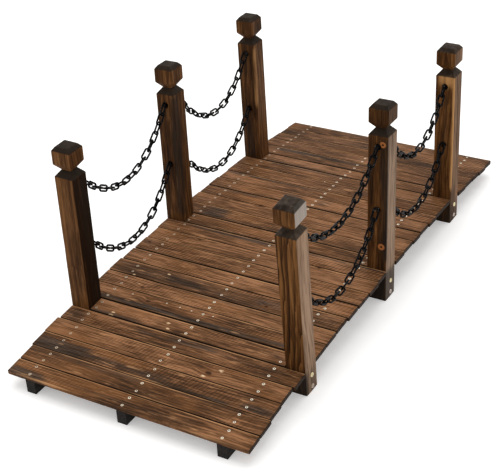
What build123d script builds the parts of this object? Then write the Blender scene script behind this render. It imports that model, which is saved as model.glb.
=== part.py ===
"""Low arched garden bridge: deck boards on three joists, six square posts and eight hanging chains."""
import math
import os

from build123d import *

os.makedirs("parts", exist_ok=True)

# Deck: x runs from the near end to the far end, y to the left, z up from the ground.
deck_length = 1485.0
deck_width = 672.0
deck_rise = 43.0
deck_end_height = 48.0
board_thickness = 12.0

# Middles of the joints between boards, and the width of the open gap at each one.
joint_x = [-742.5, -693, -640, -585, -527, -472, -418, -359, -304, -245, -189, -129, -73.5, -19,
           34, 92, 150, 200, 257, 309, 366, 420, 472, 532, 585, 636, 691, 742.5]
joint_gap = [0, 2.5, 1.2, 1.6, 2.4, 4.0, 5.0, 1.6, 3.4, 2.6, 4.4, 1.6, 1.8, 4.0,
             4.0, 1.6, 1.8, 4.6, 2.0, 2.6, 1.6, 5.0, 5.0, 2.6, 1.8, 1.6, 1.6, 0]
# How far each board was nailed down off the middle, towards the left.
board_shift = [-1, -1, 3, 5, 0, 0, 3, 3, 4, 0, -1, -3, 0, 0,
               -1, 1, -1, 1, -2, 1, 2, 0, -1, 1, 0, -2, 1]

# Joists
joist_width = 27.0
joist_outer_face = {"left": 283.0, "right": 279.5}
joist_mid_y = {"left": joist_outer_face["left"] - joist_width / 2, "middle": 5.0,
               "right": joist_width / 2 - joist_outer_face["right"]}

# Posts: heights are measured from the top of the deck at the middle of the post.
post_size = 54.5
post_x = {"near": -445.4, "middle": 7.5, "far": 446.4}
post_rows = {"near": 5, "middle": 13, "far": 21}
shoulder_height = 375.5
groove_height = 33.0
waist_size = 27.0
finial_wall = 37.0
cap_height = 10.0
cap_flat = 38.5
post_foot_reserve = 100.0
upper_hole_height = 346.5
lower_hole_height = 172.0
hole_radius = 9.0
blind_hole_depth = 28.0
# Lean of each post in degrees: towards the far end, and outwards from the deck.
lean_pivot_above_deck = 3.0
post_lean = {
    ("near", "left"): (-0.65, -1.17),
    ("near", "right"): (-4.6, 1.0),
    ("middle", "left"): (1.6, 0.55),
    ("middle", "right"): (1.85, 0.0),
    ("far", "left"): (0.0, 0.45),
    ("far", "right"): (-0.2, 0.25),
}
# How far each post is set above its nominal place.
post_rise = {
    ("near", "left"): -4.0,
    ("near", "right"): 3.0,
    ("middle", "left"): 0.0,
    ("middle", "right"): 0.0,
    ("far", "left"): -4.0,
    ("far", "right"): 0.0,
}

# Chain links
link_wire = 5.0
link_pitch = 26.6
link_play = 0.8
link_width = 20.0
link_corner = 4.2
first_junction_out = 4.8
first_junction_up = 3.6
near_links = 18
far_links = 17
# Turn of the first link about the chain, and the extra turn spread over links 4 to 8, in degrees.
chain_roll = {
    ("near", "left", "upper"): (0, 80),
    ("near", "left", "lower"): (0, 80),
    ("near", "right", "upper"): (0, 0),
    ("near", "right", "lower"): (90, -60),
    ("far", "left", "upper"): (90, 50),
    ("far", "left", "lower"): (0, 45),
    ("far", "right", "upper"): (0, 30),
    ("far", "right", "lower"): (90, 0),
}


def deck_top(x):
    return deck_end_height + deck_rise * (1 - (2 * x / deck_length) ** 2)


def deck_slope(x):
    return math.atan(-8 * deck_rise * x / deck_length**2)


def underside(x):
    return deck_top(x) - board_thickness / math.cos(deck_slope(x))


# Joists: the top follows the undersides of the boards, one straight run for each board.
top_line = [(x, underside(x)) for x in joint_x]
joist_profile = [(joint_x[-1], 0.0), (joint_x[0], 0.0)] + top_line

for side, mid_y in joist_mid_y.items():
    with BuildPart() as joist:
        with BuildSketch(Plane.XZ.offset(-mid_y)):
            with BuildLine():
                Polyline(*joist_profile, close=True)
            make_face()
        extrude(amount=joist_width / 2, both=True)
    joist.part.label = f"joist_{side}"
    export_step(joist.part, f"parts/joist_{side}.step")

# Deck boards: those between two posts are cut back to the outer faces of the joists.
short_length = joist_outer_face["left"] + joist_outer_face["right"]
short_shift = (joist_outer_face["left"] - joist_outer_face["right"]) / 2

for index in range(len(joint_x) - 1):
    start = Vector(joint_x[index], 0, underside(joint_x[index]))
    end = Vector(joint_x[index + 1], 0, underside(joint_x[index + 1]))
    run = end - start
    along = run.normalized()
    low = joint_gap[index] / 2
    high = run.length - joint_gap[index + 1] / 2
    between_posts = index in post_rows.values()
    length = short_length if between_posts else deck_width
    shift = short_shift if between_posts else board_shift[index]
    board_plane = Plane(origin=start + Vector(0, shift, 0), x_dir=along, z_dir=along.cross(Vector(0, 1, 0)))
    with BuildPart(board_plane) as board:
        with Locations(((low + high) / 2, 0, 0)):
            Box(high - low, length, board_thickness, align=(Align.CENTER, Align.CENTER, Align.MIN))
    label = f"deck_board_{index + 1:02d}"
    board.part.label = label
    export_step(board.part, f"parts/{label}.step")

# Posts
groove_taper = math.degrees(math.atan((post_size - waist_size) / groove_height))
cap_taper = math.degrees(math.atan((post_size - cap_flat) / 2 / cap_height))
hole_sides = {"near": (1,), "middle": (-1, 1), "far": (-1,)}


def post_location(row, side):
    lean_along, lean_out = post_lean[(row, side)]
    sign = 1 if side == "left" else -1
    top = deck_top(post_x[row]) + post_rise[(row, side)]
    pivot_z = 0.0 if lean_out > 0 else deck_top(post_x[row]) + lean_pivot_above_deck
    inner_foot = Location((post_x[row], sign * joist_outer_face[side], pivot_z))
    turn = Location((0, 0, 0), (-sign * lean_out, 0, 0))
    back = Location((0, sign * post_size / 2, top - pivot_z))
    lean = Location((0, 0, 0), (0, lean_along, 0))
    return inner_foot * turn * back * lean


def hole_mouth(row, side, height, direction):
    where = post_location(row, side) * Location((direction * post_size / 2, 0, height))
    return where.position


for row, row_x in post_x.items():
    for side in ("left", "right"):
        with BuildPart(Plane(post_location(row, side))) as post:
            with Locations((0, 0, -post_foot_reserve)):
                Box(post_size, post_size, post_foot_reserve + shoulder_height,
                    align=(Align.CENTER, Align.CENTER, Align.MIN))
            with BuildSketch(Plane(post_location(row, side)).offset(shoulder_height)):
                Rectangle(post_size, post_size)
            extrude(amount=groove_height / 2, taper=groove_taper)
            with BuildSketch(Plane(post_location(row, side)).offset(shoulder_height + groove_height / 2)):
                Rectangle(waist_size, waist_size)
            extrude(amount=groove_height / 2, taper=-groove_taper)
            with Locations((0, 0, shoulder_height + groove_height)):
                Box(post_size, post_size, finial_wall, align=(Align.CENTER, Align.CENTER, Align.MIN))
            cap_start = shoulder_height + groove_height + finial_wall
            with BuildSketch(Plane(post_location(row, side)).offset(cap_start)):
                Rectangle(post_size, post_size)
            extrude(amount=cap_height, taper=cap_taper)
            for height in (upper_hole_height, lower_hole_height):
                for direction in hole_sides[row]:
                    with Locations(Location((direction * post_size / 2, 0, height), (0, 90, 0))):
                        if row == "middle" and direction < 0:
                            continue
                        depth = 2 * post_size if row == "middle" else 2 * blind_hole_depth
                        Cylinder(hole_radius, depth, mode=Mode.SUBTRACT)
            with BuildSketch(Plane.XY):
                with Locations((row_x, 0)):
                    Rectangle(8 * post_size, 2 * deck_width)
            extrude(amount=-2 * post_foot_reserve, mode=Mode.SUBTRACT)
        label = f"post_{row}_{side}"
        post.part.label = label
        export_step(post.part, f"parts/{label}.step")


# Chains: junction points lie on a catenary, and each link spans two of them.
def catenary_points(start, end, count):
    dx = math.hypot(end.X - start.X, end.Y - start.Y)
    dz = end.Z - start.Z
    arc = count * link_pitch
    target = math.sqrt(arc**2 - dz**2) / dx
    low, high = 0.01, 6.0
    while high - low > 1e-10:
        middle = (low + high) / 2
        if math.sinh(middle) / middle < target:
            low = middle
        else:
            high = middle
    a = dx / (2 * low)
    lowest = dx / 2 - a * math.atanh(dz / arc)
    z_start = a * math.cosh(-lowest / a)
    s_start = a * math.sinh(-lowest / a)
    points = []
    for step in range(count + 1):
        x = lowest + a * math.asinh((s_start + step * link_pitch) / a)
        z = start.Z + a * math.cosh((x - lowest) / a) - z_start
        points.append(Vector(start.X + (end.X - start.X) * x / dx, start.Y + (end.Y - start.Y) * x / dx, z))
    return points


outer_half = (link_pitch + link_play + 2 * link_wire) / 2
inner_half = (link_pitch + link_play) / 2
inner_corner = link_corner - link_wire * (2 - math.sqrt(2))


def ring_outline(half_length, half_width, corner):
    return [(half_length, half_width - corner), (half_length - corner, half_width),
            (corner - half_length, half_width), (-half_length, half_width - corner),
            (-half_length, corner - half_width), (corner - half_length, -half_width),
            (half_length - corner, -half_width), (half_length, corner - half_width)]


def chain_ends(bay, side, level):
    height = upper_hole_height if level == "upper" else lower_hole_height
    first, last = ("near", "middle") if bay == "near" else ("middle", "far")
    start = hole_mouth(first, side, height, 1) + Vector(first_junction_out, 0, first_junction_up)
    end = hole_mouth(last, side, height, -1) + Vector(-first_junction_out, 0, first_junction_up)
    return start, end


for (bay, side, level), (roll_start, extra_turn) in chain_roll.items():
    count = near_links if bay == "near" else far_links
    start, end = chain_ends(bay, side, level)
    points = catenary_points(start, end, count)
    with BuildPart() as chain:
        for link in range(count):
            from_end = count - 1 - link
            extra = extra_turn * min(max((from_end - 3) / 5, 0), 1)
            roll = roll_start + 90 * from_end + extra
            here = points[link]
            there = points[link + 1]
            axis = (there - here).normalized()
            level_dir = Vector(0, 0, 1).cross(axis).normalized()
            normal = level_dir * math.cos(math.radians(roll)) + axis.cross(level_dir) * math.sin(math.radians(roll))
            link_plane = Plane(origin=(here + there) * 0.5, x_dir=axis, z_dir=normal)
            with BuildSketch(link_plane):
                with BuildLine():
                    Polyline(*ring_outline(outer_half, link_width / 2, link_corner), close=True)
                make_face()
                with BuildLine():
                    Polyline(*ring_outline(inner_half, link_width / 2 - link_wire, inner_corner), close=True)
                make_face(mode=Mode.SUBTRACT)
        extrude(amount=link_wire / 2, both=True)
    label = f"chain_{bay}_{side}_{level}"
    chain.part.label = label
    export_step(chain.part, f"parts/{label}.step")
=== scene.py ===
import math
import random

import bmesh
import bpy
import numpy as np
from mathutils import Matrix, Vector, noise


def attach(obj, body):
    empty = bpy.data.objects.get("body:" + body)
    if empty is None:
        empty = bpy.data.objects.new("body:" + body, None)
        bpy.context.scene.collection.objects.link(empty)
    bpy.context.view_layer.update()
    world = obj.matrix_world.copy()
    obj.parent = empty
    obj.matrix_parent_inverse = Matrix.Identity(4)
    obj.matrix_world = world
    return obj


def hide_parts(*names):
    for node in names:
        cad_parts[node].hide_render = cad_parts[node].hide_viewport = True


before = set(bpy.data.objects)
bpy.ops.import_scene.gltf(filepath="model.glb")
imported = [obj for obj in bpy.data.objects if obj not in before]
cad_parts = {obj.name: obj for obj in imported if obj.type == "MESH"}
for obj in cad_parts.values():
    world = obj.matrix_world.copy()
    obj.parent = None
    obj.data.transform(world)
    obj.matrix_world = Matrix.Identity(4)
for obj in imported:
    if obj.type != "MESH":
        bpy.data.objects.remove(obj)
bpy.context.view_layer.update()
mm = 0.001

# camera at the photo's angle, and soft light from above
view = {
    "place": (-2.5383, -1.4728, 1.8548),
    "aim": (-0.1717, -0.0188, 0.2),
    "roll": -3.62,  # degrees, the picture leans a little to the left
    "lens": 91.65,
    "sensorWidth": 36,
    "clipStart": 0.05,
    "worldLight": 0.76,
    "worldColour": (1.0, 0.99, 0.97),
    "sunLight": 0.9,
    "sunFrom": (0.17, 0.07, 1.0),
    "sunSoftness": 50,
    "floorSize": 14.0,
    "floorGrey": 0.80,
    "paperSeen": 0.95,
    "paperGlow": 0.30,  # lifts the open floor to white for the camera, and leaves the shadow
}


def makeCamera():
    data = bpy.data.cameras.new("photoCamera")
    data.lens = view["lens"]
    data.sensor_width = view["sensorWidth"]
    data.clip_start = view["clipStart"]
    camera = bpy.data.objects.new("photoCamera", data)
    bpy.context.scene.collection.objects.link(camera)
    place = Vector(view["place"])
    look = (Vector(view["aim"]) - place).to_track_quat("-Z", "Y").to_matrix().to_4x4()
    roll = Matrix.Rotation(math.radians(view["roll"]), 4, "Z")
    camera.matrix_world = Matrix.Translation(place) @ look @ roll
    bpy.context.scene.camera = camera


def seenRays(tree):  # camera, mirror and glass rays together
    path = tree.nodes.new("ShaderNodeLightPath")
    total = path.outputs["Is Camera Ray"]
    for other in ("Is Glossy Ray", "Is Transmission Ray"):
        add = tree.nodes.new("ShaderNodeMath")
        add.operation = "MAXIMUM"
        tree.links.new(total, add.inputs[0])
        tree.links.new(path.outputs[other], add.inputs[1])
        total = add.outputs[0]
    return total


def makeLight():
    world = bpy.data.worlds.new("studioWorld")
    bpy.context.scene.world = world
    world.use_nodes = True
    tree = world.node_tree
    tree.nodes.clear()
    out = tree.nodes.new("ShaderNodeOutputWorld")
    lit = tree.nodes.new("ShaderNodeBackground")
    lit.inputs["Color"].default_value = (*view["worldColour"], 1)
    lit.inputs["Strength"].default_value = view["worldLight"]
    seen = tree.nodes.new("ShaderNodeBackground")
    seen.inputs["Color"].default_value = (1, 1, 1, 1)
    mix = tree.nodes.new("ShaderNodeMixShader")
    tree.links.new(seenRays(tree), mix.inputs[0])
    tree.links.new(lit.outputs[0], mix.inputs[1])
    tree.links.new(seen.outputs[0], mix.inputs[2])
    tree.links.new(mix.outputs[0], out.inputs[0])
    lamp = bpy.data.lights.new("softSun", "SUN")
    lamp.energy = view["sunLight"]
    lamp.angle = math.radians(view["sunSoftness"])
    sun = bpy.data.objects.new("softSun", lamp)
    bpy.context.scene.collection.objects.link(sun)
    sun.matrix_world = Vector(view["sunFrom"]).to_track_quat("Z", "Y").to_matrix().to_4x4()
    bpy.context.scene.view_settings.view_transform = "Standard"


def makeFloor():
    bm = bmesh.new()
    bmesh.ops.create_grid(bm, x_segments=4, y_segments=4, size=view["floorSize"])
    mesh = bpy.data.meshes.new("studioFloor")
    bm.to_mesh(mesh)
    bm.free()
    floor = bpy.data.objects.new("studioFloor", mesh)
    bpy.context.scene.collection.objects.link(floor)
    material = bpy.data.materials.new("whitePaper")
    material.use_nodes = True
    tree = material.node_tree
    tree.nodes.clear()
    out = tree.nodes.new("ShaderNodeOutputMaterial")
    lit = tree.nodes.new("ShaderNodeBsdfDiffuse")
    lit.inputs["Color"].default_value = (*[view["floorGrey"]] * 3, 1)
    paper = tree.nodes.new("ShaderNodeBsdfDiffuse")
    paper.inputs["Color"].default_value = (*[view["paperSeen"]] * 3, 1)
    glow = tree.nodes.new("ShaderNodeEmission")
    glow.inputs["Color"].default_value = (1, 1, 1, 1)
    glow.inputs["Strength"].default_value = view["paperGlow"]
    both = tree.nodes.new("ShaderNodeAddShader")
    mix = tree.nodes.new("ShaderNodeMixShader")
    tree.links.new(paper.outputs[0], both.inputs[0])
    tree.links.new(glow.outputs[0], both.inputs[1])
    tree.links.new(seenRays(tree), mix.inputs[0])
    tree.links.new(lit.outputs[0], mix.inputs[1])
    tree.links.new(both.outputs[0], mix.inputs[2])
    tree.links.new(mix.outputs[0], out.inputs[0])
    mesh.materials.append(material)


makeCamera()
makeLight()
makeFloor()
print("camera, light and floor are in")


class Recipe:  # a material's node tree, with short ways to add nodes
    def __init__(self, name):
        self.material = bpy.data.materials.new(name)
        self.material.use_nodes = True
        self.tree = self.material.node_tree
        self.tree.nodes.clear()
        self.out = self.tree.nodes.new("ShaderNodeOutputMaterial")
        self.shader = self.tree.nodes.new("ShaderNodeBsdfPrincipled")
        self.tree.links.new(self.shader.outputs[0], self.out.inputs[0])

    def node(self, kind, **settings):
        made = self.tree.nodes.new("ShaderNode" + kind)
        for key, value in settings.items():
            setattr(made, key, value)
        return made

    def feed(self, socket, value):
        if hasattr(value, "is_output"):
            self.tree.links.new(value, socket)
        else:
            socket.default_value = value

    def feedAll(self, made, values):
        for name, value in values.items():
            self.feed(made.inputs[name], value)

    def attribute(self, name, output="Fac"):
        return self.node("Attribute", attribute_name=name).outputs[output]

    def math(self, operation, a, b):
        made = self.node("Math", operation=operation)
        self.feedAll(made, {0: a, 1: b})
        return made.outputs[0]

    def sum(self, *parts):  # each part is a value and its weight
        total = None
        for value, weight in parts:
            part = self.math("MULTIPLY", value, weight)
            total = part if total is None else self.math("ADD", total, part)
        return total

    def vector(self, operation, a, b, output=0):
        made = self.node("VectorMath", operation=operation)
        self.feedAll(made, {0: a, 1: b})
        return made.outputs[output]

    def stretch(self, vector, *factors):  # a factor under 1 draws a pattern out along that axis
        return self.vector("MULTIPLY", vector, factors)

    def smooth(self, value, low, high, toLow=0.0, toHigh=1.0):
        made = self.node("MapRange", interpolation_type="SMOOTHSTEP")
        self.feedAll(made, {"Value": value, "From Min": low, "From Max": high,
                            "To Min": toLow, "To Max": toHigh})
        return made.outputs["Result"]

    def noise(self, vector, scale, detail, roughness=0.55, distortion=0.0):
        made = self.node("TexNoise")
        self.feedAll(made, {"Vector": vector, "Scale": scale, "Detail": detail,
                            "Roughness": roughness, "Distortion": distortion})
        return made.outputs["Fac"]

    def wave(self, vector, scale, distortion, detail, detailScale, direction="X", profile="SAW"):
        made = self.node("TexWave", wave_type="BANDS", bands_direction=direction, wave_profile=profile)
        self.feedAll(made, {"Vector": vector, "Scale": scale, "Distortion": distortion,
                            "Detail": detail, "Detail Scale": detailScale})
        return made.outputs["Fac"]

    def mix(self, factor, a, b):
        made = self.node("Mix", data_type="RGBA")
        made.clamp_factor = True
        self.feed(made.inputs[0], factor)
        self.feed(made.inputs[6], a if hasattr(a, "is_output") else (*a, 1))
        self.feed(made.inputs[7], b if hasattr(b, "is_output") else (*b, 1))
        return made.outputs[2]

    def ramp(self, value, stops):
        made = self.node("ValToRGB")
        made.color_ramp.elements.remove(made.color_ramp.elements[0])
        for index, (place, colour) in enumerate(stops):
            stop = made.color_ramp.elements[0] if index == 0 else made.color_ramp.elements.new(place)
            stop.position = place
            stop.color = (*colour, 1)
        self.feed(made.inputs[0], value)
        return made.outputs[0]

    def shiftX(self, vector, amount):  # moves a pattern sideways by a changing amount
        made = self.node("CombineXYZ")
        self.feed(made.inputs[0], amount)
        return self.vector("ADD", vector, made.outputs[0])

    def bump(self, height, strength, distance):
        made = self.node("Bump")
        made.inputs["Strength"].default_value = strength
        made.inputs["Distance"].default_value = distance
        self.feed(made.inputs["Height"], height)
        self.feed(self.shader.inputs["Normal"], made.outputs[0])


def finishPiece(bm, name, slot, *materials, sharpAngle=18):
    mesh = bpy.data.meshes.new(name)
    bm.normal_update()
    bm.to_mesh(mesh)
    bm.free()
    for material in materials:
        mesh.materials.append(material)
    for face in mesh.polygons:
        face.use_smooth = True
    if sharpAngle:
        mesh.set_sharp_from_angle(angle=math.radians(sharpAngle))
    piece = bpy.data.objects.new(name, mesh)
    bpy.context.scene.collection.objects.link(piece)
    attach(piece, "root")
    return piece


def writeVectors(mesh, name, values):
    layer = mesh.attributes.new(name, "FLOAT_VECTOR", "POINT")
    layer.data.foreach_set("vector", np.asarray(values, np.float32).ravel())


def writeNumbers(mesh, name, values, domain="POINT"):
    layer = mesh.attributes.new(name, "FLOAT", domain)
    layer.data.foreach_set("value", np.asarray(values, np.float32))


def fade(value, low, high):  # from 0 at low to 1 at high, with soft ends
    part = min(max((value - low) / (high - low), 0.0), 1.0)
    return part * part * (3 - 2 * part)


def ripple(x, y, z):  # smooth noise, about -1 to 1
    return noise.noise(Vector((x, y, z)))


def roundEdges(bm, edges, radius):
    bmesh.ops.bevel(bm, geom=edges, offset=radius * mm, affect="EDGES", segments=2, profile=0.5, material=-1)


# scorched deck wood
deckWoodLook = {
    "dark": (0.034, 0.016, 0.008),
    "middle": (0.136, 0.059, 0.024),
    "light": (0.388, 0.180, 0.082),
    "orange": (0.270, 0.108, 0.034),
    "charcoal": (0.020, 0.014, 0.010),
    "ashGrey": (0.052, 0.043, 0.037),
    "wornAndLitEdge": (0.600, 0.315, 0.145),
    # pale tan of the rubbed rims, which also serves as painted highlight on the rounded board edges
    "fleck": (0.520, 0.270, 0.125),
    "chip": (0.860, 0.580, 0.330),
    # near black: the dark end grain of the board ends, and painted shade on the board sides inside the gaps
    "endGrainAndGapShade": (0.015, 0.0075, 0.004),
    "knot": (0.024, 0.009, 0.003),
    "knotRing": (0.150, 0.056, 0.018),
    "fineGrain": 250.0,
    "sawMarks": 30.0,
    "knotOval": 0.6,  # knots and chips are drawn out along the board
}

# knots in the deck: x, y, radius (mm)
deckKnots = (
    (-562, -125, 8), (-340, 210, 5), (-385, 162, 5.5), (-85, 190, 4.5), (-150, 312, 4.5),
    (-285, -127, 5), (-75, -170, 5), (150, 130, 6), (330, -60, 5),
)
# pale chips beside them: x, y, radius (mm)
deckChips = (
    (-544.6, -148.9, 4.5), (-576.4, -118.6, 3.5), (-330, 226, 3.0), (-468.4, 218.6, 3.8), (-458, 219, 2.6),
    (-440.7, 63.6, 3.4), (-460.7, 54.3, 3.6), (-430.7, 1.8, 3.2), (-300, 262, 2.8), (-262, 176, 2.6),
)


def makeDeckWood():
    look = deckWoodLook
    wood = Recipe("scorchedDeckWood")
    grain = wood.attribute("grain", "Vector")
    oval = look["knotOval"]
    flat = wood.stretch(wood.node("TexCoord").outputs["Object"], 1.0, oval, 0.0)

    def reachFrom(x, y, radius):  # how far off a spot on the deck is, in radii of that spot
        distance = wood.vector("DISTANCE", flat, (x * mm, y * oval * mm, 0.0), 1)
        return wood.math("DIVIDE", distance, radius * mm)

    nearest = None
    for knot in deckKnots:
        reach = reachFrom(*knot)
        nearest = reach if nearest is None else wood.math("MINIMUM", nearest, reach)
    wander = wood.noise(wood.stretch(grain, 6.0, 2.4, 6.0), 1.0, 2.0)
    bend = wood.sum((wander, 0.026), (wood.smooth(nearest, 3.6, 0.8), 0.007))
    along = wood.shiftX(wood.stretch(grain, 1.0, 0.045, 1.0), bend)
    broken = wood.shiftX(wood.stretch(grain, 1.0, 0.085, 1.0), bend)
    fine = wood.noise(broken, look["fineGrain"], 5.0, 0.66)
    streaks = wood.noise(along, 170.0, 3.0, 0.6, 0.2)
    rings = wood.wave(along, 40.0, 2.6, 2.0, 2.5)
    mottle = wood.noise(wood.stretch(grain, 30.0, 8.0, 30.0), 1.0, 5.0, 0.66, 0.5)
    sawGrain = wood.stretch(grain, 0.6, 2.0, 0.0)
    saw = wood.wave(sawGrain, look["sawMarks"], 3.5, 2.0, 1.6, "DIAGONAL", "SIN")
    sawn = wood.math("MULTIPLY", wood.math("SUBTRACT", saw, 0.5), wood.smooth(wander, 0.42, 0.62))
    drifts = wood.noise(wood.stretch(grain, 9.0, 3.2, 9.0), 1.0, 2.0)
    level = wood.sum((fine, 0.52), (streaks, 0.48), (rings, 0.08), (mottle, 0.14), (drifts, 0.44),
                     (sawn, 0.08), (wood.attribute("tone"), 0.09))
    colour = wood.ramp(level, ((0.68, look["dark"]), (0.82, look["middle"]), (0.98, look["light"])))
    warm = wood.smooth(wood.noise(wood.stretch(grain, 13.0, 3.0, 13.0), 1.0, 2.0), 0.47, 0.72)
    colour = wood.mix(wood.math("MULTIPLY", warm, 0.40), colour, look["orange"])
    patch = wood.noise(wood.stretch(grain, 62.0, 5.0, 62.0), 1.0, 4.0, 0.6)
    ragged = wood.math("SUBTRACT", patch, 0.5)
    char = wood.attribute("char")
    burnt = wood.smooth(wood.sum((char, 1.0), (wood.math("MULTIPLY", char, ragged), 2.2)), 0.05, 1.0)
    coal = wood.mix(wood.smooth(streaks, 0.42, 0.62), look["charcoal"], look["ashGrey"])
    colour = wood.mix(wood.math("MULTIPLY", burnt, 0.82), colour, coal)
    flecks = wood.smooth(wood.noise(wood.stretch(grain, 1.0, 0.12, 1.0), 120.0, 3.0), 0.62, 0.74)
    colour = wood.mix(wood.math("MULTIPLY", flecks, 0.60), colour, look["fleck"])
    # pale rims: rubbed wear, and painted highlight where the rounded edges catch light
    rubbedAndLit = wood.smooth(wood.sum((wood.attribute("paleRimWearAndHighlight"), 1.0), (ragged, 1.0)), 0.38, 0.85)
    colour = wood.mix(wood.math("MULTIPLY", rubbedAndLit, 0.78), colour, look["wornAndLitEdge"])
    pores = wood.smooth(wood.noise(wood.stretch(grain, 1.0, 0.03, 1.0), 560.0, 2.0), 0.59, 0.70)
    colour = wood.mix(wood.math("MULTIPLY", pores, 0.45), colour, look["dark"])
    edge = wood.sum((nearest, 1.0), (wood.math("SUBTRACT", fine, 0.5), 1.6))
    colour = wood.mix(wood.smooth(edge, 2.2, 0.9, 0.0, 0.45), colour, look["knotRing"])
    colour = wood.mix(wood.smooth(edge, 0.9, 0.4, 0.0, 0.9), colour, look["knot"])
    for chip in deckChips:
        reach = wood.sum((reachFrom(*chip), 1.0), (wood.math("SUBTRACT", fine, 0.5), 4.5))
        colour = wood.mix(wood.smooth(reach, 1.1, 0.6, 0.0, 0.8), colour, look["chip"])
    # the board ends get their dark end grain; the board sides inside the gaps are painted near black as
    # painted shade
    darkEndsAndGapShade = wood.math("MAXIMUM", wood.attribute("endFace"), wood.attribute("gapSideShade"))
    colour = wood.mix(darkEndsAndGapShade, colour, look["endGrainAndGapShade"])
    wood.feed(wood.shader.inputs["Base Color"], colour)
    wood.feed(wood.shader.inputs["Roughness"], wood.smooth(level, 0.68, 1.03, 0.74, 0.52))
    wood.shader.inputs["Specular IOR Level"].default_value = 0.12
    wood.shader.inputs["Specular Tint"].default_value = (1.0, 0.80, 0.58, 1)
    wood.bump(wood.sum((fine, 1.2), (sawn, 0.25), (pores, -0.4), (streaks, 0.8)), 0.9, 0.0012)
    return wood.material


# lengths in mm; the marks are board, middle across it, from and to along it, half width and strength
boardLook = {
    "tones": (-0.4, -0.35, -0.45, 0.3, -0.1, 0.35, 0.1, 0.5, -0.4, 0.2, 0.15, 0.45, 0.25, -0.05,
              -0.1, 0.4, 0.0, 0.4, 0.1, 0.0, -0.1, 0.1, -0.7, -0.15, -0.4, -0.5, -0.35),
    "fit": 0.99995,  # keeps a board just inside its packed one
    "roundEdge": 1.3,
    "lengthCuts": 50,
    "widthCuts": 9,
    "waver": 0.5,
    "topRipple": 0.25,
    "openChar": 0.26,  # char away from the marks
    "markDrift": 5,
    "rimWidth": 3.6,
    # the rims are painted pale, partly as rubbed wear and partly as painted highlight on the rounded edges
    "rimWearAndHighlight": 0.50,
    "rimWearAndHighlightVaries": 0.60,
    "farRimWearAndHighlight": 0.36,
    "nearRimWearAndHighlight": -0.06,
    "lowRimWearAndHighlight": 0.15,
    # boards whose near side gets a wider band of painted gap shade
    "wideGapBefore": (6, 7, 11, 14, 15, 18, 22, 23),
    "marks": (
        (1, -14, 340, 230, 13, 0.95), (1, -8, 250, -160, 5, 0.55), (1, -4, -150, -180, 16, 0.5),
        (2, 16, 340, 0, 13, 0.62), (2, 22, 0, -320, 5, 0.5),
        (3, -8, 340, 180, 22, 0.95), (3, -14, 200, -60, 14, 0.66), (3, -22, -20, -230, 8, 0.85),
        (3, -14, -250, -340, 13, 0.75),
        (5, 0, 330, 270, 24, 0.75), (5, 2, 130, 20, 8, 0.55), (5, 14, 40, -110, 12, 0.85),
        (5, 8, -110, -300, 7, 0.5),
        (6, -20, 280, 130, 9, 0.8), (6, 0, -235, -262, 10, 0.6),
        (7, -19, 340, -260, 9, 1.0), (7, 0, 175, 150, 14, 0.5),
        (8, 22, 200, -110, 6, 0.6),
        (9, -4, 340, -330, 26, 0.45), (9, -6, 175, 50, 13, 0.75), (9, -2, -90, -150, 12, 0.7),
        (11, 8, 335, 300, 14, 0.6), (13, 19, 330, -10, 9, 0.85), (13, 21, -100, -335, 6, 0.9),
        (14, 20, 250, 60, 6, 0.5), (15, 0, 265, 190, 26, 0.85), (15, -20, 190, -300, 6, 0.45),
        (17, 17, 300, 150, 7, 0.7), (18, 18, 115, 40, 10, 0.75), (18, 6, 0, -45, 16, 0.6),
        (19, 19, 340, 0, 7, 0.75), (21, 23, 265, -25, 7, 0.85), (22, -20, 265, -25, 6, 0.6),
        (23, 14, 280, 0, 13, 0.75), (25, 18, 250, 50, 7, 0.5), (26, -12, 120, -60, 12, 0.4),
        (27, 14, 335, -320, 9, 0.45),
    ),
}


def boardFrame(node):  # the place, directions and size of a packed board, from the middle of its underside
    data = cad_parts[node].data
    corners = [Vector(c) for c in sorted({tuple(round(c, 6) for c in vertex.co) for vertex in data.vertices})]
    near = sorted(corners[:4], key=lambda c: (c.z, c.y))
    far = sorted(corners[4:], key=lambda c: (c.z, c.y))
    across = (far[0] - near[0]).normalized()
    up = (near[2] - near[0]).normalized()
    size = Vector(((far[0] - near[0]).length, (near[1] - near[0]).length, (near[2] - near[0]).length))
    middle = (near[0] + near[1] + far[0] + far[1]) / 4
    return Matrix.Translation(middle) @ Matrix((across, Vector((0, 1, 0)), up)).transposed().to_4x4(), size


def shapeBoard(size, seed):
    look = boardLook
    bm = bmesh.new()
    bmesh.ops.create_cube(bm, size=1.0)
    bmesh.ops.scale(bm, vec=size * look["fit"], verts=bm.verts)
    bmesh.ops.translate(bm, vec=(0, 0, size.z / 2), verts=bm.verts)
    roundEdges(bm, bm.edges[:], look["roundEdge"])
    longEdges = [e for e in bm.edges if abs(e.verts[0].co.y - e.verts[1].co.y) > size.y * 0.8]
    bmesh.ops.subdivide_edges(bm, edges=longEdges, cuts=look["lengthCuts"], use_grid_fill=True)
    wideEdges = [e for e in bm.edges if abs(e.verts[0].co.x - e.verts[1].co.x) > size.x * 0.8]
    bmesh.ops.subdivide_edges(bm, edges=wideEdges, cuts=look["widthCuts"], use_grid_fill=True)
    points = [vertex.co.copy() for vertex in bm.verts]  # where they are before the waver
    for vertex in bm.verts:
        x, y, z = vertex.co
        if abs(x) / (size.x / 2) > 0.93:  # the sawn edges are not quite straight
            pull = look["waver"] * mm * (0.5 + 0.5 * ripple(y * 9, seed, 2.0 * (x > 0)))
            vertex.co.x -= math.copysign(pull, x)
        if z > size.z * 0.5:
            vertex.co.z -= look["topRipple"] * mm * (0.5 + 0.5 * ripple(x * 40, y * 7, seed))
    return bm, points


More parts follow.
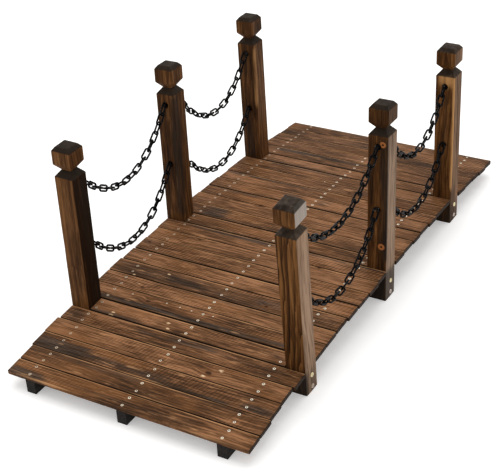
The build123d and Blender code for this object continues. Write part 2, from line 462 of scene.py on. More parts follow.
def boardChar(number, seed, x, y):
    look = boardLook
    amount = look["openChar"] * (ripple(x * 30, y * 3.5, seed + 5) + 0.05)
    for board, middle, start, end, half, strength in look["marks"]:
        if board == number:
            drift = look["markDrift"] * ripple(y * 4, seed + middle, 0)
            beside = fade(half + 3 - abs(x / mm - middle - drift), 0, 8)
            inside = fade(start - y / mm, -25, 25) * fade(y / mm - end, -25, 25)
            amount = max(amount, strength * beside * inside)
    return amount


def boardRimWearAndHighlight(size, seed, x, y, z):  # the rims of a board are painted pale, partly as rubbed wear and partly as painted highlight where the rounded edges catch light, most at its far side
    look = boardLook
    rim = fade(size.x / 2 - abs(x), look["rimWidth"] * mm, 0.8 * mm)
    rubbedAndLit = look["rimWearAndHighlight"] + look["rimWearAndHighlightVaries"] * ripple(y * 7, seed, 1 if x > 0 else 8)
    sideWearAndHighlight = look["farRimWearAndHighlight"] if x > 0 else look["nearRimWearAndHighlight"]
    return rim * (rubbedAndLit + sideWearAndHighlight) if z > 4 * mm else look["lowRimWearAndHighlight"] * rim


def paintBoard(mesh, number, size, seed, points):  # what the deck wood reads at every point
    look = boardLook
    count = len(look["tones"])
    writeVectors(mesh, "grain", [(x + number * 0.37, y + number * 1.71, z) for x, y, z in points])
    writeNumbers(mesh, "char", [boardChar(number, seed, x, y) for x, y, z in points])
    writeNumbers(mesh, "paleRimWearAndHighlight", [boardRimWearAndHighlight(size, seed, x, y, z) for x, y, z in points])
    writeNumbers(mesh, "tone", [look["tones"][number - 1]] * len(points))
    openSide = {1: -1, count: 1}.get(number, 0)  # the two outermost long edges stay brown, without painted gap shade
    # the long sides inside the gaps are painted near black as painted shade, wider at the wide gaps
    gapShade = []
    for x, y, z in points:
        depth = 2.4 if x < 0 and number in look["wideGapBefore"] else 0.9
        sunk = 0.95 * fade(abs(x), size.x / 2 - depth * mm, size.x / 2 - 0.1 * mm)
        gapShade.append(0.0 if x * openSide > 0 else sunk)
    writeNumbers(mesh, "gapSideShade", gapShade)
    endFace = [fade(abs(y), size.y / 2 - 1.6 * mm, size.y / 2 - 0.5 * mm) for x, y, z in points]
    writeNumbers(mesh, "endFace", endFace)


def makeBoard(number, wood):
    node = f"deck_board_{number:02d}"
    place, size = boardFrame(node)
    seed = number * 3.17
    bm, points = shapeBoard(size, seed)
    bm.transform(place)
    piece = finishPiece(bm, f"board_{number:02d}", "deck_wood", wood)
    paintBoard(piece.data, number, size, seed, points)
    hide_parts(node)
    return place, size


deckWood = makeDeckWood()
boardPlaces = {number: makeBoard(number, deckWood) for number in range(1, len(boardLook["tones"]) + 1)}
print("deck boards are in")


# charred joists
joistLook = {
    "roundEdge": 1.0,
    "dark": (0.005, 0.0045, 0.004),
    "light": (0.026, 0.021, 0.018),
    "grainShift": {"left": 0.0, "middle": 1.3, "right": 2.9},
}


def makeJoistWood():
    wood = Recipe("charredJoistWood")
    grain = wood.attribute("grain", "Vector")
    lines = wood.noise(wood.stretch(grain, 0.06, 1.0, 1.0), 300.0, 5.0, 0.65)
    cracks = wood.noise(wood.stretch(grain, 0.5, 1.0, 1.0), 95.0, 3.0)
    level = wood.sum((lines, 0.6), (cracks, 0.4))
    colour = wood.ramp(level, ((0.36, joistLook["dark"]), (0.66, joistLook["light"])))
    wood.feed(wood.shader.inputs["Base Color"], colour)
    wood.feed(wood.shader.inputs["Roughness"], wood.smooth(lines, 0.3, 0.7, 0.85, 0.62))
    wood.shader.inputs["Specular IOR Level"].default_value = 0.15
    wood.bump(wood.sum((lines, 1.0), (cracks, 1.0)), 0.6, 0.0008)
    return wood.material


def makeJoist(side, wood):
    bm = bmesh.new()
    bm.from_mesh(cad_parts[f"joist_{side}"].data)
    bmesh.ops.remove_doubles(bm, verts=bm.verts, dist=1e-5)
    bmesh.ops.dissolve_limit(bm, angle_limit=math.radians(0.1), verts=bm.verts, edges=bm.edges)
    sharp = [e for e in bm.edges if len(e.link_faces) == 2 and e.calc_face_angle() > 0.5]
    roundEdges(bm, sharp, joistLook["roundEdge"])
    piece = finishPiece(bm, f"joist_beam_{side}", "joist_wood", wood, sharpAngle=1)
    shift = joistLook["grainShift"][side]
    writeVectors(piece.data, "grain", [v.co + Vector((shift, shift, 0)) for v in piece.data.vertices])
    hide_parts(f"joist_{side}")


joistWood = makeJoistWood()
for side in joistLook["grainShift"]:
    makeJoist(side, joistWood)
print("joists are in")


# the arch of the deck, which the heights of the posts are measured from (mm)
deckArch = {"length": 1485, "endHeight": 48, "rise": 43}

# posts; heights are from the top of the deck, in mm
postLook = {
    "size": 54.4,
    "packedSize": 54.5,
    "footBelow": 100,  # cut off at the ground later
    "shoulder": 375.5,
    "groove": 33.0,
    "waist": 27.0,
    "finialWall": 37.0,
    "cap": 9.95,
    "capFlat": 38.5,
    "holeRadius": 9.0,
    "holes": (346.5, 172.0),
    "holeSides": {"near": (1,), "middle": (-1, 1), "far": (-1,)},
    "blindDrill": 56,
    "throughDrill": 58,
    "grainSeed": {"near": 1.0, "middle": 4.0, "far": 7.0},
    "roundEdge": 1.5,
    "lengthCuts": 38,
    "finialCuts": 3,
    "sideCuts": 5,
    "x": {"near": -445.4, "middle": 7.5, "far": 446.4},
    "innerFace": {"left": 283.0, "right": 279.5},
    "pivotAboveDeck": 3.0,  # a post that leans inwards turns about this height
    # lean along the deck and outwards (degrees), rise, edge waver (mm), strength of the grain figure
    "each": {
        ("near", "left"): (-0.65, -1.17, -4.0, 0.6, 0.15),
        ("near", "right"): (-4.6, 1.0, 3.0, 2.2, 1.0),
        ("middle", "left"): (1.6, 0.55, 0.0, 0.5, 0.3),
        ("middle", "right"): (1.85, 0.0, 0.0, 0.5, 0.35),
        ("far", "left"): (0.0, 0.45, -4.0, 0.5, 0.3),
        ("far", "right"): (-0.2, 0.25, 0.0, 0.5, 0.5),
    },
    # tone of the faces that look to the near end, right, left and far end, of the finial and of its top
    "tones": {
        ("near", "left"): (0.36, -1.5, 0.2, 0.2, 0.45, -0.38),
        ("near", "right"): (0.35, 0.2, 0.1, 0.1, 0.50, 0.0),
        ("middle", "left"): (-0.15, -0.2, 0.0, 0.1, 0.05, -0.24),
        ("middle", "right"): (-0.10, 0.2, 0.0, 0.1, -0.6, -0.30),
        ("far", "left"): (-0.2, 0.32, 0.1, 0.1, -0.1, -0.19),
        ("far", "right"): (0.32, 0.3, 0.0, 0.1, 0.25, -0.02),
    },
    # how pale the outer face is on the shaft and on the finial, then how grey
    "weather": {
        ("near", "left"): (0.5, 0.2, 0.0, 0.0), ("near", "right"): (1.0, 1.0, 0.0, 0.85),
        ("middle", "left"): (0.4, 0.1, 0.0, 0.0), ("middle", "right"): (1.0, 0.15, 0.08, 0.0),
        ("far", "left"): (0.4, 0.1, 0.0, 0.0), ("far", "right"): (0.30, 0.25, 0.0, 0.0),
    },
}

postWoodLook = {
    "dark": (0.011, 0.004, 0.0015),
    "middle": (0.062, 0.023, 0.006),
    "light": (0.215, 0.092, 0.028),
    "charcoal": (0.014, 0.011, 0.009),
    "topGrey": (0.058, 0.046, 0.037),
    "weatherDark": (0.080, 0.040, 0.020),
    "weatherLight": (0.370, 0.235, 0.148),
    "ashGrey": (0.410, 0.365, 0.330),
    "amber": (0.600, 0.310, 0.115),
    "knotRing": (0.400, 0.140, 0.042),
    "knotCore": (0.018, 0.006, 0.002),
}

# knots in the posts: place on the surface and radius (m)
postKnots = (
    ((-0.0083, -0.3195, 0.4460), 0.0085),
    ((-0.0176, -0.3190, 0.1590), 0.0095),
)

# marks on the posts: row, side, kind, the ranges of x, y and height that they cover (mm), strength. The char
# marks on the near faces of the right posts below the deck top are painted shade.
postMarks = (
    ("near", "left", "char", (-10, 40), (-40, -20), (0, 375), 0.50),
    ("near", "left", "amber", (-40, -24), (4, 40), (408, 440), 0.35),
    ("near", "right", "char", (-40, -22), (-40, -20), (150, 375), 0.45),
    ("near", "right", "char", (-40, -22), (18, 40), (100, 375), 0.40),
    ("near", "right", "amber", (-40, -22), (-12, 6), (20, 300), 0.24),
    ("near", "right", "char", (-40, 40), (-40, -24), (-110, 0), 0.60),
    # painted shade: the near face of the foot below the deck top, darkened through the char mask
    ("near", "right", "char", (-40, -22), (-40, 40), (-110, -6), 1.0),
    ("middle", "left", "char", (-40, -4), (-40, -10), (10, 380), 0.72),
    ("middle", "left", "amber", (8, 40), (-40, -22), (0, 150), 0.30),
    ("middle", "left", "amber", (-40, -24), (18, 40), (60, 375), 0.30),
    ("middle", "right", "char", (-40, -20), (-40, -6), (40, 375), 0.70),
    ("middle", "right", "char", (-40, -22), (-40, -18), (20, 300), 0.80),
    ("middle", "right", "char", (-40, 40), (-40, -24), (-110, 0), 0.95),
    # painted shade: the near face of the foot below the deck top, darkened through the char mask
    ("middle", "right", "char", (-40, -22), (-40, 40), (-110, -6), 1.0),
    ("middle", "right", "amber", (-40, -22), (-8, 10), (20, 330), 0.16),
    ("far", "left", "char", (-40, -20), (-10, 40), (0, 140), 0.60),
    ("far", "left", "char", (-40, -20), (-10, 10), (250, 375), 0.45),
    ("far", "left", "amber", (-40, -16), (-40, -20), (180, 375), 0.60),
    ("far", "right", "amber", (-40, -22), (-40, -24), (30, 375), 1.0),
    ("far", "right", "amber", (-40, -22), (-40, 20), (345, 390), 0.78),
    ("far", "right", "char", (-40, 40), (-40, -24), (-110, 0), 0.75),
    # painted shade: the near face of the foot below the deck top, darkened through the char mask
    ("far", "right", "char", (-40, -22), (-40, 40), (-110, -6), 0.8),
    ("far", "right", "char", (-40, -22), (-12, 10), (140, 330), 0.50),
)


def makePostWood():
    look = postWoodLook
    wood = Recipe("scorchedPostWood")
    grain = wood.attribute("grain", "Vector")
    point = wood.node("TexCoord").outputs["Object"]
    wander = wood.noise(wood.stretch(grain, 11.0, 11.0, 4.5), 1.0, 2.0)
    bend = wood.math("MULTIPLY", wander, 0.030)
    along = wood.shiftX(wood.stretch(grain, 1.0, 1.0, 0.045), bend)
    fine = wood.noise(along, 300.0, 5.0, 0.62)
    streaks = wood.noise(along, 84.0, 3.0, 0.55, 0.4)
    mottle = wood.noise(wood.stretch(grain, 17.0, 17.0, 4.5), 1.0, 3.0, 0.55)
    rings = wood.wave(along, 42.0, 3.0, 2.0, 2.5, "DIAGONAL")
    figure = wood.math("MULTIPLY", wood.math("SUBTRACT", rings, 0.5), wood.attribute("figure"))
    tone = wood.attribute("tone")
    level = wood.sum((fine, 0.42), (streaks, 0.42), (mottle, 0.30), (figure, 0.24), (tone, 0.12))
    colour = wood.ramp(level, ((0.42, look["dark"]), (0.565, look["middle"]), (0.74, look["light"])))
    patch = wood.noise(wood.stretch(grain, 64.0, 64.0, 6.0), 1.0, 4.0, 0.6)
    ragged = wood.math("SUBTRACT", patch, 0.5)
    weathered = wood.sum((fine, 0.45), (streaks, 0.35), (mottle, 0.3))
    pale = wood.ramp(weathered, ((0.44, look["weatherDark"]), (0.63, look["weatherLight"])))
    colour = wood.mix(wood.attribute("outer"), colour, pale)
    glow = wood.smooth(wood.sum((wood.attribute("amber"), 1.0), (ragged, 1.3)), 0.25, 0.95)
    colour = wood.mix(wood.math("MULTIPLY", glow, 0.80), colour, look["amber"])
    # the char mask also carries painted shade on the near faces of the right posts' feet below the deck
    burnt = wood.smooth(wood.sum((wood.attribute("char"), 1.0), (ragged, 0.9)), 0.28, 0.92)
    colour = wood.mix(wood.math("MULTIPLY", burnt, 0.84), colour, look["charcoal"])
    colour = wood.mix(wood.math("MULTIPLY", wood.attribute("ash"), 0.9), colour, look["ashGrey"])
    worn = wood.smooth(wood.sum((patch, 1.0), (tone, 1.0)), 0.36, 0.68)
    ashen = wood.mix(worn, look["charcoal"], look["topGrey"])
    colour = wood.mix(wood.math("MULTIPLY", wood.attribute("topFace"), 0.9), colour, ashen)
    for centre, radius in postKnots:
        reach = wood.vector("DISTANCE", point, centre, 1)
        reach = wood.sum((reach, 1.0), (wood.math("SUBTRACT", fine, 0.5), 0.004))
        colour = wood.mix(wood.smooth(reach, radius * 1.1, radius * 0.8, 0.0, 0.9), colour, look["knotRing"])
        colour = wood.mix(wood.smooth(reach, radius * 0.42, radius * 0.22), colour, look["knotCore"])
    wood.feed(wood.shader.inputs["Base Color"], colour)
    wood.feed(wood.shader.inputs["Roughness"], wood.smooth(level, 0.4, 0.8, 0.74, 0.52))
    wood.shader.inputs["Specular IOR Level"].default_value = 0.13
    wood.shader.inputs["Specular Tint"].default_value = (1.0, 0.78, 0.55, 1)
    wood.bump(wood.sum((fine, 0.9), (rings, 0.25), (streaks, 0.5)), 0.65, 0.0009)
    return wood.material


def postPlace(row, side):  # a post's own frame stands at the middle of the post, at the top of the deck
    look = postLook
    leanAlong, leanOut, rise = look["each"][(row, side)][:3]
    sign = 1 if side == "left" else -1
    x = look["x"][row]
    deckTop = deckArch["endHeight"] + deckArch["rise"] * (1 - (2 * x / deckArch["length"]) ** 2)
    pivot = 0.0 if leanOut > 0 else deckTop + look["pivotAboveDeck"]
    inner = Matrix.Translation(Vector((x, sign * look["innerFace"][side], pivot)) * mm)
    turn = Matrix.Rotation(math.radians(-sign * leanOut), 4, "X")
    back = Matrix.Translation(Vector((0, sign * look["packedSize"] / 2, deckTop + rise - pivot)) * mm)
    return inner @ turn @ back @ Matrix.Rotation(math.radians(leanAlong), 4, "Y")


def raiseSquare(bm, face, height, size):  # extrudes a square end face up to a height, at a new size
    made = bmesh.ops.extrude_face_region(bm, geom=[face])["geom"]
    bmesh.ops.delete(bm, geom=[face], context="FACES_ONLY")
    verts = [g for g in made if isinstance(g, bmesh.types.BMVert)]
    factor = size / 2 * mm / max(abs(v.co.x) for v in verts)
    bmesh.ops.scale(bm, vec=(factor, factor, 1), verts=verts)
    bmesh.ops.translate(bm, vec=(0, 0, height * mm - verts[0].co.z), verts=verts)
    return [g for g in made if isinstance(g, bmesh.types.BMFace)][0]


def cutHoles(bm, name, directions):  # drills the chain holes
    look = postLook
    radius = look["holeRadius"] * mm
    depth = (look["blindDrill"] if len(directions) == 1 else look["throughDrill"]) * mm
    drillBm = bmesh.new()
    for height in look["holes"]:
        for direction in directions:
            mouth = Matrix.Translation((direction * look["size"] / 2 * mm, 0, height * mm))
            bmesh.ops.create_cone(drillBm, segments=28, radius1=radius, radius2=radius, depth=depth,
                                  cap_ends=True, matrix=mouth @ Matrix.Rotation(math.pi / 2, 4, "Y"))
    solidMesh = bpy.data.meshes.new(name + "_solid")
    drillMesh = bpy.data.meshes.new(name + "_drill")
    things = []
    for source, mesh in ((bm, solidMesh), (drillBm, drillMesh)):
        source.to_mesh(mesh)
        source.free()
        thing = bpy.data.objects.new(mesh.name, mesh)
        bpy.context.scene.collection.objects.link(thing)
        things.append(thing)
    boolean = things[0].modifiers.new("drilled", "BOOLEAN")
    boolean.operation = "DIFFERENCE"
    boolean.solver = "EXACT"
    boolean.use_self = True
    boolean.object = things[1]
    bpy.context.view_layer.update()
    drilled = bmesh.new()
    drilled.from_mesh(things[0].evaluated_get(bpy.context.evaluated_depsgraph_get()).data)
    bmesh.ops.remove_doubles(drilled, verts=drilled.verts, dist=2e-5)  # closes slits along the cuts
    for thing in things:
        bpy.data.objects.remove(thing)
    return drilled


def markStrength(row, side, kind, point, seed):
    strongest = 0.0
    for markRow, markSide, markKind, xRange, yRange, zRange, strength in postMarks:
        if (markRow, markSide, markKind) == (row, side, kind):
            amount = strength
            drift = 4 * ripple(point.z * 9, seed, strength)
            for value, (low, high), soft in zip(point, (xRange, yRange, zRange), (3, 4, 22)):
                spot = value / mm + (drift if soft == 4 else 0)
                amount *= fade(spot - low, -soft, soft) * fade(high - spot, -soft, soft)
            strongest = max(strongest, amount)
    return strongest


def postSolid():  # a square shaft with a groove all round below a cube top
    look = postLook
    size, shoulder = look["size"], look["shoulder"]
    neck = shoulder + look["groove"]
    capStart = neck + look["finialWall"]
    levels = ((shoulder, size), (shoulder + look["groove"] / 2, look["waist"]), (neck, size),
              (capStart, size), (capStart + look["cap"], look["capFlat"]))
    bm = bmesh.new()
    bmesh.ops.create_grid(bm, x_segments=1, y_segments=1, size=size / 2 * mm)
    bmesh.ops.translate(bm, vec=(0, 0, -look["footBelow"] * mm), verts=bm.verts)
    face = bm.faces[:][0]
    for height, width in levels:
        face = raiseSquare(bm, face, height, width)
    bmesh.ops.holes_fill(bm, edges=bm.edges, sides=4)
    bmesh.ops.recalc_face_normals(bm, faces=bm.faces)
    return bm


def climb(edge):
    return abs(edge.verts[0].co.z - edge.verts[1].co.z)


def refinePost(bm, waver, seed):  # rounded edges, cuts for the paint, and arrises that wander
    look = postLook
    waistZ = (look["shoulder"] + look["groove"] / 2) * mm
    sharp = [e for e in bm.edges
             if e.calc_face_angle(0) > 0.3 and any(abs(v.co.z - waistZ) > mm for v in e.verts)]
    roundEdges(bm, sharp, look["roundEdge"])
    shaft = [e for e in bm.edges if climb(e) > 0.3]
    bmesh.ops.subdivide_edges(bm, edges=shaft, cuts=look["lengthCuts"], use_grid_fill=True)
    finial = [e for e in bm.edges if climb(e) > 0.03]
    bmesh.ops.subdivide_edges(bm, edges=finial, cuts=look["finialCuts"], use_grid_fill=True)
    wide = [e for e in bm.edges if climb(e) < 1e-5 and e.calc_length() > 0.03]
    bmesh.ops.subdivide_edges(bm, edges=wide, cuts=look["sideCuts"], use_grid_fill=True)
    half = look["size"] / 2 * mm
    for vertex in bm.verts:
        x, y, z = (min(max(c, -limit), limit) for c, limit in zip(vertex.co, (half, half, 1.0)))
        vertex.co = (x, y, z)  # the rounding stays inside the square
        if min(abs(x), abs(y)) / half > 0.88 and z < look["shoulder"] * mm - 0.01:
            bite = 0.5 + 0.5 * ripple(z * 14, seed, 3.0 * (x > 0) + 6.0 * (y > 0))
            vertex.co.x -= math.copysign(waver * mm * bite * bite, x)
            vertex.co.y -= math.copysign(waver * mm * bite * bite, y)


def cutAtGround(bm):
    everything = bm.verts[:] + bm.edges[:] + bm.faces[:]
    cut = bmesh.ops.bisect_plane(bm, geom=everything, plane_co=(0, 0, 0), plane_no=(0, 0, -1),
                                 clear_outer=True)
    rim = [g for g in cut["geom_cut"] if isinstance(g, bmesh.types.BMEdge)]
    bmesh.ops.holes_fill(bm, edges=rim, sides=0)


def paintPost(mesh, row, side, place, seed):  # what the post wood reads at every point and face
    look = postLook
    shoulder = look["shoulder"]
    figure = look["each"][(row, side)][4]
    back = place.inverted()
    local = [back @ v.co for v in mesh.vertices]
    writeVectors(mesh, "grain", [(p.x + seed, p.y + seed, p.z + seed * 2) for p in local])
    writeNumbers(mesh, "figure", [figure * (0.25 if p.z > (shoulder + 8) * mm else 1) for p in local])
    ambient = [0.24 * ripple(p.x * 30, p.y * 30, p.z * 2.5 + seed) for p in local]
    char = [max(a, markStrength(row, side, "char", p, seed)) for a, p in zip(ambient, local)]
    writeNumbers(mesh, "char", char)
    writeNumbers(mesh, "amber", [markStrength(row, side, "amber", p, seed) for p in local])
    sign = 1 if side == "left" else -1
    turned = back.to_3x3()
    *sideTones, finialTone, topTone = look["tones"][(row, side)]
    paleShaft, paleFinial, greyShaft, greyFinial = look["weather"][(row, side)]
    tone, outer, ash, top = [], [], [], []
    for polygon in mesh.polygons:
        direction = turned @ polygon.normal
        height = (back @ polygon.center).z / mm
        facing = [max(-direction.x, 0), max(-direction.y, 0), max(direction.y, 0), max(direction.x, 0)]
        if height < shoulder:
            tone.append(sum(t * f * f for t, f in zip(sideTones, facing)))
        else:
            tone.append(topTone if direction.z > 0.45 else finialTone * (0.6 + 0.4 * facing[0]))
        outward = fade(direction.y * sign, 0.45, 0.85)
        onShaft = height < shoulder + 8
        outer.append(outward * (paleShaft if onShaft else paleFinial))
        ash.append(outward * (greyShaft if onShaft else greyFinial))
        top.append(fade(direction.z, 0.3, 0.6) if height > 300 else 0.0)
    for name, values in (("tone", tone), ("outer", outer), ("ash", ash), ("topFace", top)):
        writeNumbers(mesh, name, values, "FACE")


def makePost(row, side, wood):
    look = postLook
    waver = look["each"][(row, side)][3]
    seed = look["grainSeed"][row] + (1.5 if side == "right" else 0.0)
    bm = postSolid()
    refinePost(bm, waver, seed)
    bm = cutHoles(bm, f"post_{row}_{side}", look["holeSides"][row])
    place = postPlace(row, side)
    bm.transform(place)
    cutAtGround(bm)
    piece = finishPiece(bm, f"rail_post_{row}_{side}", "post_wood", wood)
    paintPost(piece.data, row, side, place, seed)
    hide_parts(f"post_{row}_{side}")
    return place


postWood = makePostWood()
postPlaces = {(row, side): makePost(row, side, postWood) for row, side in postLook["each"]}
print("posts are in")


# chains, in mm
chainLook = {
    "wire": 5.3,
    "insideLength": 27.4,
    "width": 20.0,
    "cornerRadius": 5.3,
    "wireSides": 8,
    "cornerSteps": 4,
    "black": (0.0012, 0.0012, 0.0013),
    # pale grey spots: partly scuffed wear, partly painted glints on the black links
    "worn": (0.260, 0.260, 0.270),
}


def makeChainBlack():
    steel = Recipe("blackChainSteel")
    point = steel.node("TexCoord").outputs["Object"]
    scuffsAndGlints = steel.noise(point, 420.0, 3.0, 0.6)
    # sparse pale spots stand for scuffs and for painted glints
    colour = steel.ramp(scuffsAndGlints, ((0.63, chainLook["black"]), (0.74, chainLook["worn"])))
    steel.feed(steel.shader.inputs["Base Color"], colour)
    steel.shader.inputs["Specular IOR Level"].default_value = 0.05
    steel.feed(steel.shader.inputs["Roughness"], steel.smooth(scuffsAndGlints, 0.3, 0.7, 0.22, 0.42))
    steel.bump(steel.noise(point, 900.0, 2.0), 0.25, 0.0003)
    return steel.material


def makeLink():  # one round-wire link lying flat: long along x, wide along y
    look = chainLook
    bm = bmesh.new()
    radius = look["cornerRadius"]
    halfLong = (look["insideLength"] + look["wire"]) / 2
    halfWide = (look["width"] - look["wire"]) / 2
    start = Matrix.Translation(Vector((0, halfWide, 0)) * mm) @ Matrix.Rotation(math.pi / 2, 4, "Y")
    made = bmesh.ops.create_circle(bm, cap_ends=False, segments=look["wireSides"],
                                   radius=look["wire"] / 2 * mm, matrix=start)
    ring = made["verts"]

    def edgesOf(verts):
        chosen = set(verts)
        return [e for e in bm.edges if e.verts[0] in chosen and e.verts[1] in chosen]

    def runTo(verts, x, y):
        grown = bmesh.ops.extrude_edge_only(bm, edges=edgesOf(verts))["geom"]
        new = [g for g in grown if isinstance(g, bmesh.types.BMVert)]
        bmesh.ops.translate(bm, vec=(x * mm, y * mm, 0), verts=new)
        return new

    def cornerRound(verts, x, y):
        grown = bmesh.ops.spin(bm, geom=edgesOf(verts), cent=(x * mm, y * mm, 0), axis=(0, 0, 1),
                               angle=-math.pi / 2, steps=look["cornerSteps"], use_duplicate=False)
        return [g for g in grown["geom_last"] if isinstance(g, bmesh.types.BMVert)]

    flat = halfLong - radius
    side = halfWide - radius
    ring = cornerRound(runTo(ring, flat, 0), flat, side)
    ring = cornerRound(runTo(ring, 0, -2 * side), flat, -side)
    ring = cornerRound(runTo(ring, -2 * flat, 0), -flat, -side)
    ring = cornerRound(runTo(ring, 0, 2 * side), -flat, side)
    runTo(ring, flat, 0)
    bmesh.ops.remove_doubles(bm, verts=bm.verts, dist=1e-5)
    bmesh.ops.recalc_face_normals(bm, faces=bm.faces)
    mesh = bpy.data.meshes.new("oneLink")
    bm.to_mesh(mesh)
    bm.free()
    return mesh


def linkPlaces(node):  # the place and directions of every link of a packed chain, from its own corners
    bm = bmesh.new()
    bm.from_mesh(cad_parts[node].data)
    bmesh.ops.remove_doubles(bm, verts=bm.verts, dist=1e-6)
    left = set(bm.verts)
    places = []
    while left:
        island, queue = [], [left.pop()]
        while queue:
            vertex = queue.pop()
            island.append(tuple(vertex.co))
            for edge in vertex.link_edges:
                other = edge.other_vert(vertex)
                if other in left:
                    left.discard(other)
                    queue.append(other)
        points = np.array(sorted(island))
        centre = points.mean(0)
        directions = np.linalg.svd(points - centre)[2]
        x, y = Vector(directions[0]), Vector(directions[1])
        turn = Matrix((x, y, x.cross(y))).transposed().to_4x4()
        places.append(Matrix.Translation(Vector(centre)) @ turn)
    bm.free()
    return sorted(places, key=lambda place: place.translation.x)


def makeChain(node, link, steel):
    bm = bmesh.new()
    for place in linkPlaces(node):
        before = len(bm.verts)
        bm.from_mesh(link)
        bm.verts.ensure_lookup_table()
        bmesh.ops.transform(bm, matrix=place, verts=bm.verts[before:])
    piece = finishPiece(bm, node.replace("chain_", "rail_chain_"), "chain_steel", steel, sharpAngle=0)
    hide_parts(node)


chainBlack = makeChainBlack()
oneLink = makeLink()
for bay in ("near", "far"):
    for side in ("left", "right"):
        for level in ("upper", "lower"):
            makeChain(f"chain_{bay}_{side}_{level}", oneLink, chainBlack)
bpy.data.meshes.remove(oneLink)
print("chains are in")


# screws in three rows along the deck, a few loose nail heads, and two bolts in each post
screwLook = {
    "rows": (273.0, 3.0, -263.0),
    "headRadius": 3.8,
    "topRatio": 0.86,  # the top of a head is this much narrower than its foot
    "proud": 0.4,
    "recess": 1.9,
    "spacing": 27.0,
    "strayAlong": 1.6,
    "strayAcross": 2.6,
    "sink": 0.2,
    "nailRadius": 2.0,
    "nailProud": 0.5,
    "nailRecess": 0.7,
    # board, then x from its middle and y on the deck
    "nails": (
        (7, 14, 216), (7, 15, 112), (7, 14, 72), (7, 13, 37), (7, 15, -25),
        (4, 12, -149), (4, -18, -118), (20, 26, 37),
    ),
    "metals": ((0.60, 0.47, 0.33), (0.88, 0.76, 0.58), (1.0, 0.92, 0.74)),  # the left row is the dullest
    "stain": (0.36, 0.24, 0.13),
    # near black for the sunk middles of the heads, painted shade in the recesses
    "recessShadeDark": (0.020, 0.014, 0.009),
    "recessShadeBlack": (0.006, 0.004, 0.003),
}
boltLook = {
    "heights": (48.0, 14.0),
    "headRadius": 6.2,
    "proud": 2.2,
    "sink": 0.3,
    "socket": 2.2,
    "alongFace": 1.5,
    "brass": (1.0, 0.88, 0.52),
    "dull": (0.60, 0.50, 0.45),
    "tarnish": (0.62, 0.50, 0.27),
}


def makeMetal(name, light, stain):
    metal = Recipe(name)
    point = metal.node("TexCoord").outputs["Object"]
    spots = metal.sum((metal.noise(point, 230.0, 3.0), 0.5), (metal.noise(point, 16.0, 2.0), 0.5))
    metal.feed(metal.shader.inputs["Base Color"], metal.ramp(spots, ((0.34, stain), (0.47, light))))
    metal.shader.inputs["Metallic"].default_value = 0.12
    metal.feed(metal.shader.inputs["Roughness"], metal.smooth(spots, 0.3, 0.7, 0.45, 0.30))
    metal.bump(metal.noise(point, 1400.0, 2.0), 0.2, 0.0002)
    return metal.material


# the sunk middles of screw, nail and bolt heads are painted near black as painted shade in their recesses
def makeRecessShade():
    recessShader = Recipe("recessShade")
    spots = recessShader.noise(recessShader.node("TexCoord").outputs["Object"], 900.0, 2.0)
    colour = recessShader.ramp(spots, ((0.3, screwLook["recessShadeBlack"]), (0.7, screwLook["recessShadeDark"])))
    recessShader.feed(recessShader.shader.inputs["Base Color"], colour)
    recessShader.feed(recessShader.shader.inputs["Roughness"], recessShader.smooth(spots, 0.3, 0.7, 0.9, 0.7))
    recessShader.shader.inputs["Specular IOR Level"].default_value = 0.1
    return recessShader.material


def addHead(bm, place, radius, proud, recess, segments=16):  # a low round head with a sunk middle, painted dark as the shade in its recess
    topRadius = radius * screwLook["topRatio"]
    verts = bmesh.ops.create_cone(bm, cap_ends=True, segments=segments, radius1=radius * mm,
                                  radius2=topRadius * mm, depth=proud * mm)["verts"]
    bmesh.ops.translate(bm, vec=(0, 0, proud / 2 * mm), verts=verts)
    top = max({f for v in verts for f in v.link_faces}, key=lambda f: f.calc_center_median().z)
    bmesh.ops.inset_individual(bm, faces=[top], thickness=(topRadius - recess) * mm, depth=0)
    middle = top.verts[:]
    sunk = bmesh.ops.extrude_discrete_faces(bm, faces=[top])["faces"][0]
    bmesh.ops.translate(bm, vec=(0, 0, -proud * 0.8 * mm), verts=sunk.verts)
    sunk.material_index = 1
    bmesh.ops.bridge_loops(bm, edges=[e for e in bm.edges if e.is_boundary])
    bmesh.ops.transform(bm, matrix=place, verts=list(set(verts) | set(middle) | set(sunk.verts)))


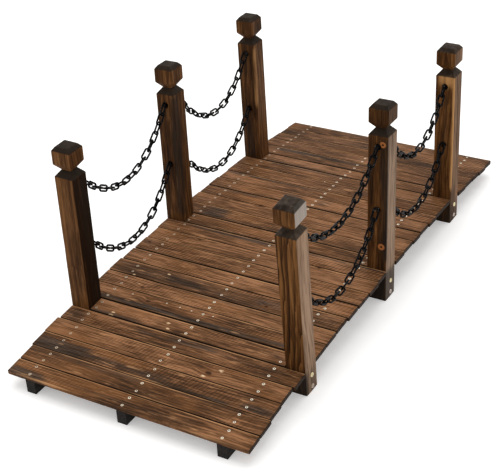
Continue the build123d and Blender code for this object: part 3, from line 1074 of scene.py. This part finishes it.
def deckSpot(number, x, y):  # a place on top of a board, x from its middle, y on the deck
    place, size = boardPlaces[number]
    spot = place @ Vector((x * mm, y * mm - place.translation.y, size.z - screwLook["sink"] * mm))
    return Matrix.Translation(spot) @ place.to_3x3().to_4x4()


def makeDeckScrews(metals, dark):
    look = screwLook
    wobble = random.Random(5)
    for name, row, metal in zip(("left", "middle", "right"), look["rows"], metals):
        bm = bmesh.new()
        for number in boardPlaces:
            for step in (-0.5, 0.5):
                x = step * look["spacing"] + wobble.uniform(-look["strayAlong"], look["strayAlong"])
                y = row + wobble.uniform(-look["strayAcross"], look["strayAcross"])
                head = deckSpot(number, x, y) @ Matrix.Rotation(wobble.uniform(0, 3), 4, "Z")
                radius = look["headRadius"] * wobble.uniform(0.9, 1.05)
                addHead(bm, head, radius, look["proud"], look["recess"])
        finishPiece(bm, f"deck_screws_{name}", "chain_steel", metal, dark)
    bm = bmesh.new()
    for nail in look["nails"]:
        addHead(bm, deckSpot(*nail), look["nailRadius"], look["nailProud"], look["nailRecess"], 12)
    finishPiece(bm, "deck_nails", "chain_steel", metals[1], dark)


def makePostBolts(metals, dark):
    look = boltLook
    out = postLook["size"] / 2 - look["sink"]
    for name, height, metal in zip(("upper", "lower"), look["heights"], metals):
        bm = bmesh.new()
        for (row, side), place in postPlaces.items():
            sign = 1 if side == "left" else -1
            up = place.to_3x3() @ Vector((0, 0, 1))
            local = (height * mm - place.translation.z) / up.z
            spot = Vector((look["alongFace"] * mm, sign * out * mm, local))
            face = place @ Matrix.Translation(spot) @ Matrix.Rotation(-sign * math.pi / 2, 4, "X")
            addHead(bm, face, look["headRadius"], look["proud"], look["socket"])
        finishPiece(bm, f"post_bolts_{name}", "chain_steel", metal, dark)


screwMetals = [makeMetal(f"screwHead{index}", metal, screwLook["stain"])
               for index, metal in enumerate(screwLook["metals"], 1)]
boltBrass = makeMetal("brassBoltHead", boltLook["brass"], boltLook["tarnish"])
boltDull = makeMetal("dullBoltHead", boltLook["dull"], screwLook["stain"])
recessShade = makeRecessShade()
makeDeckScrews(screwMetals, recessShade)
makePostBolts((boltBrass, boltDull), recessShade)
print("screws and bolts are in")
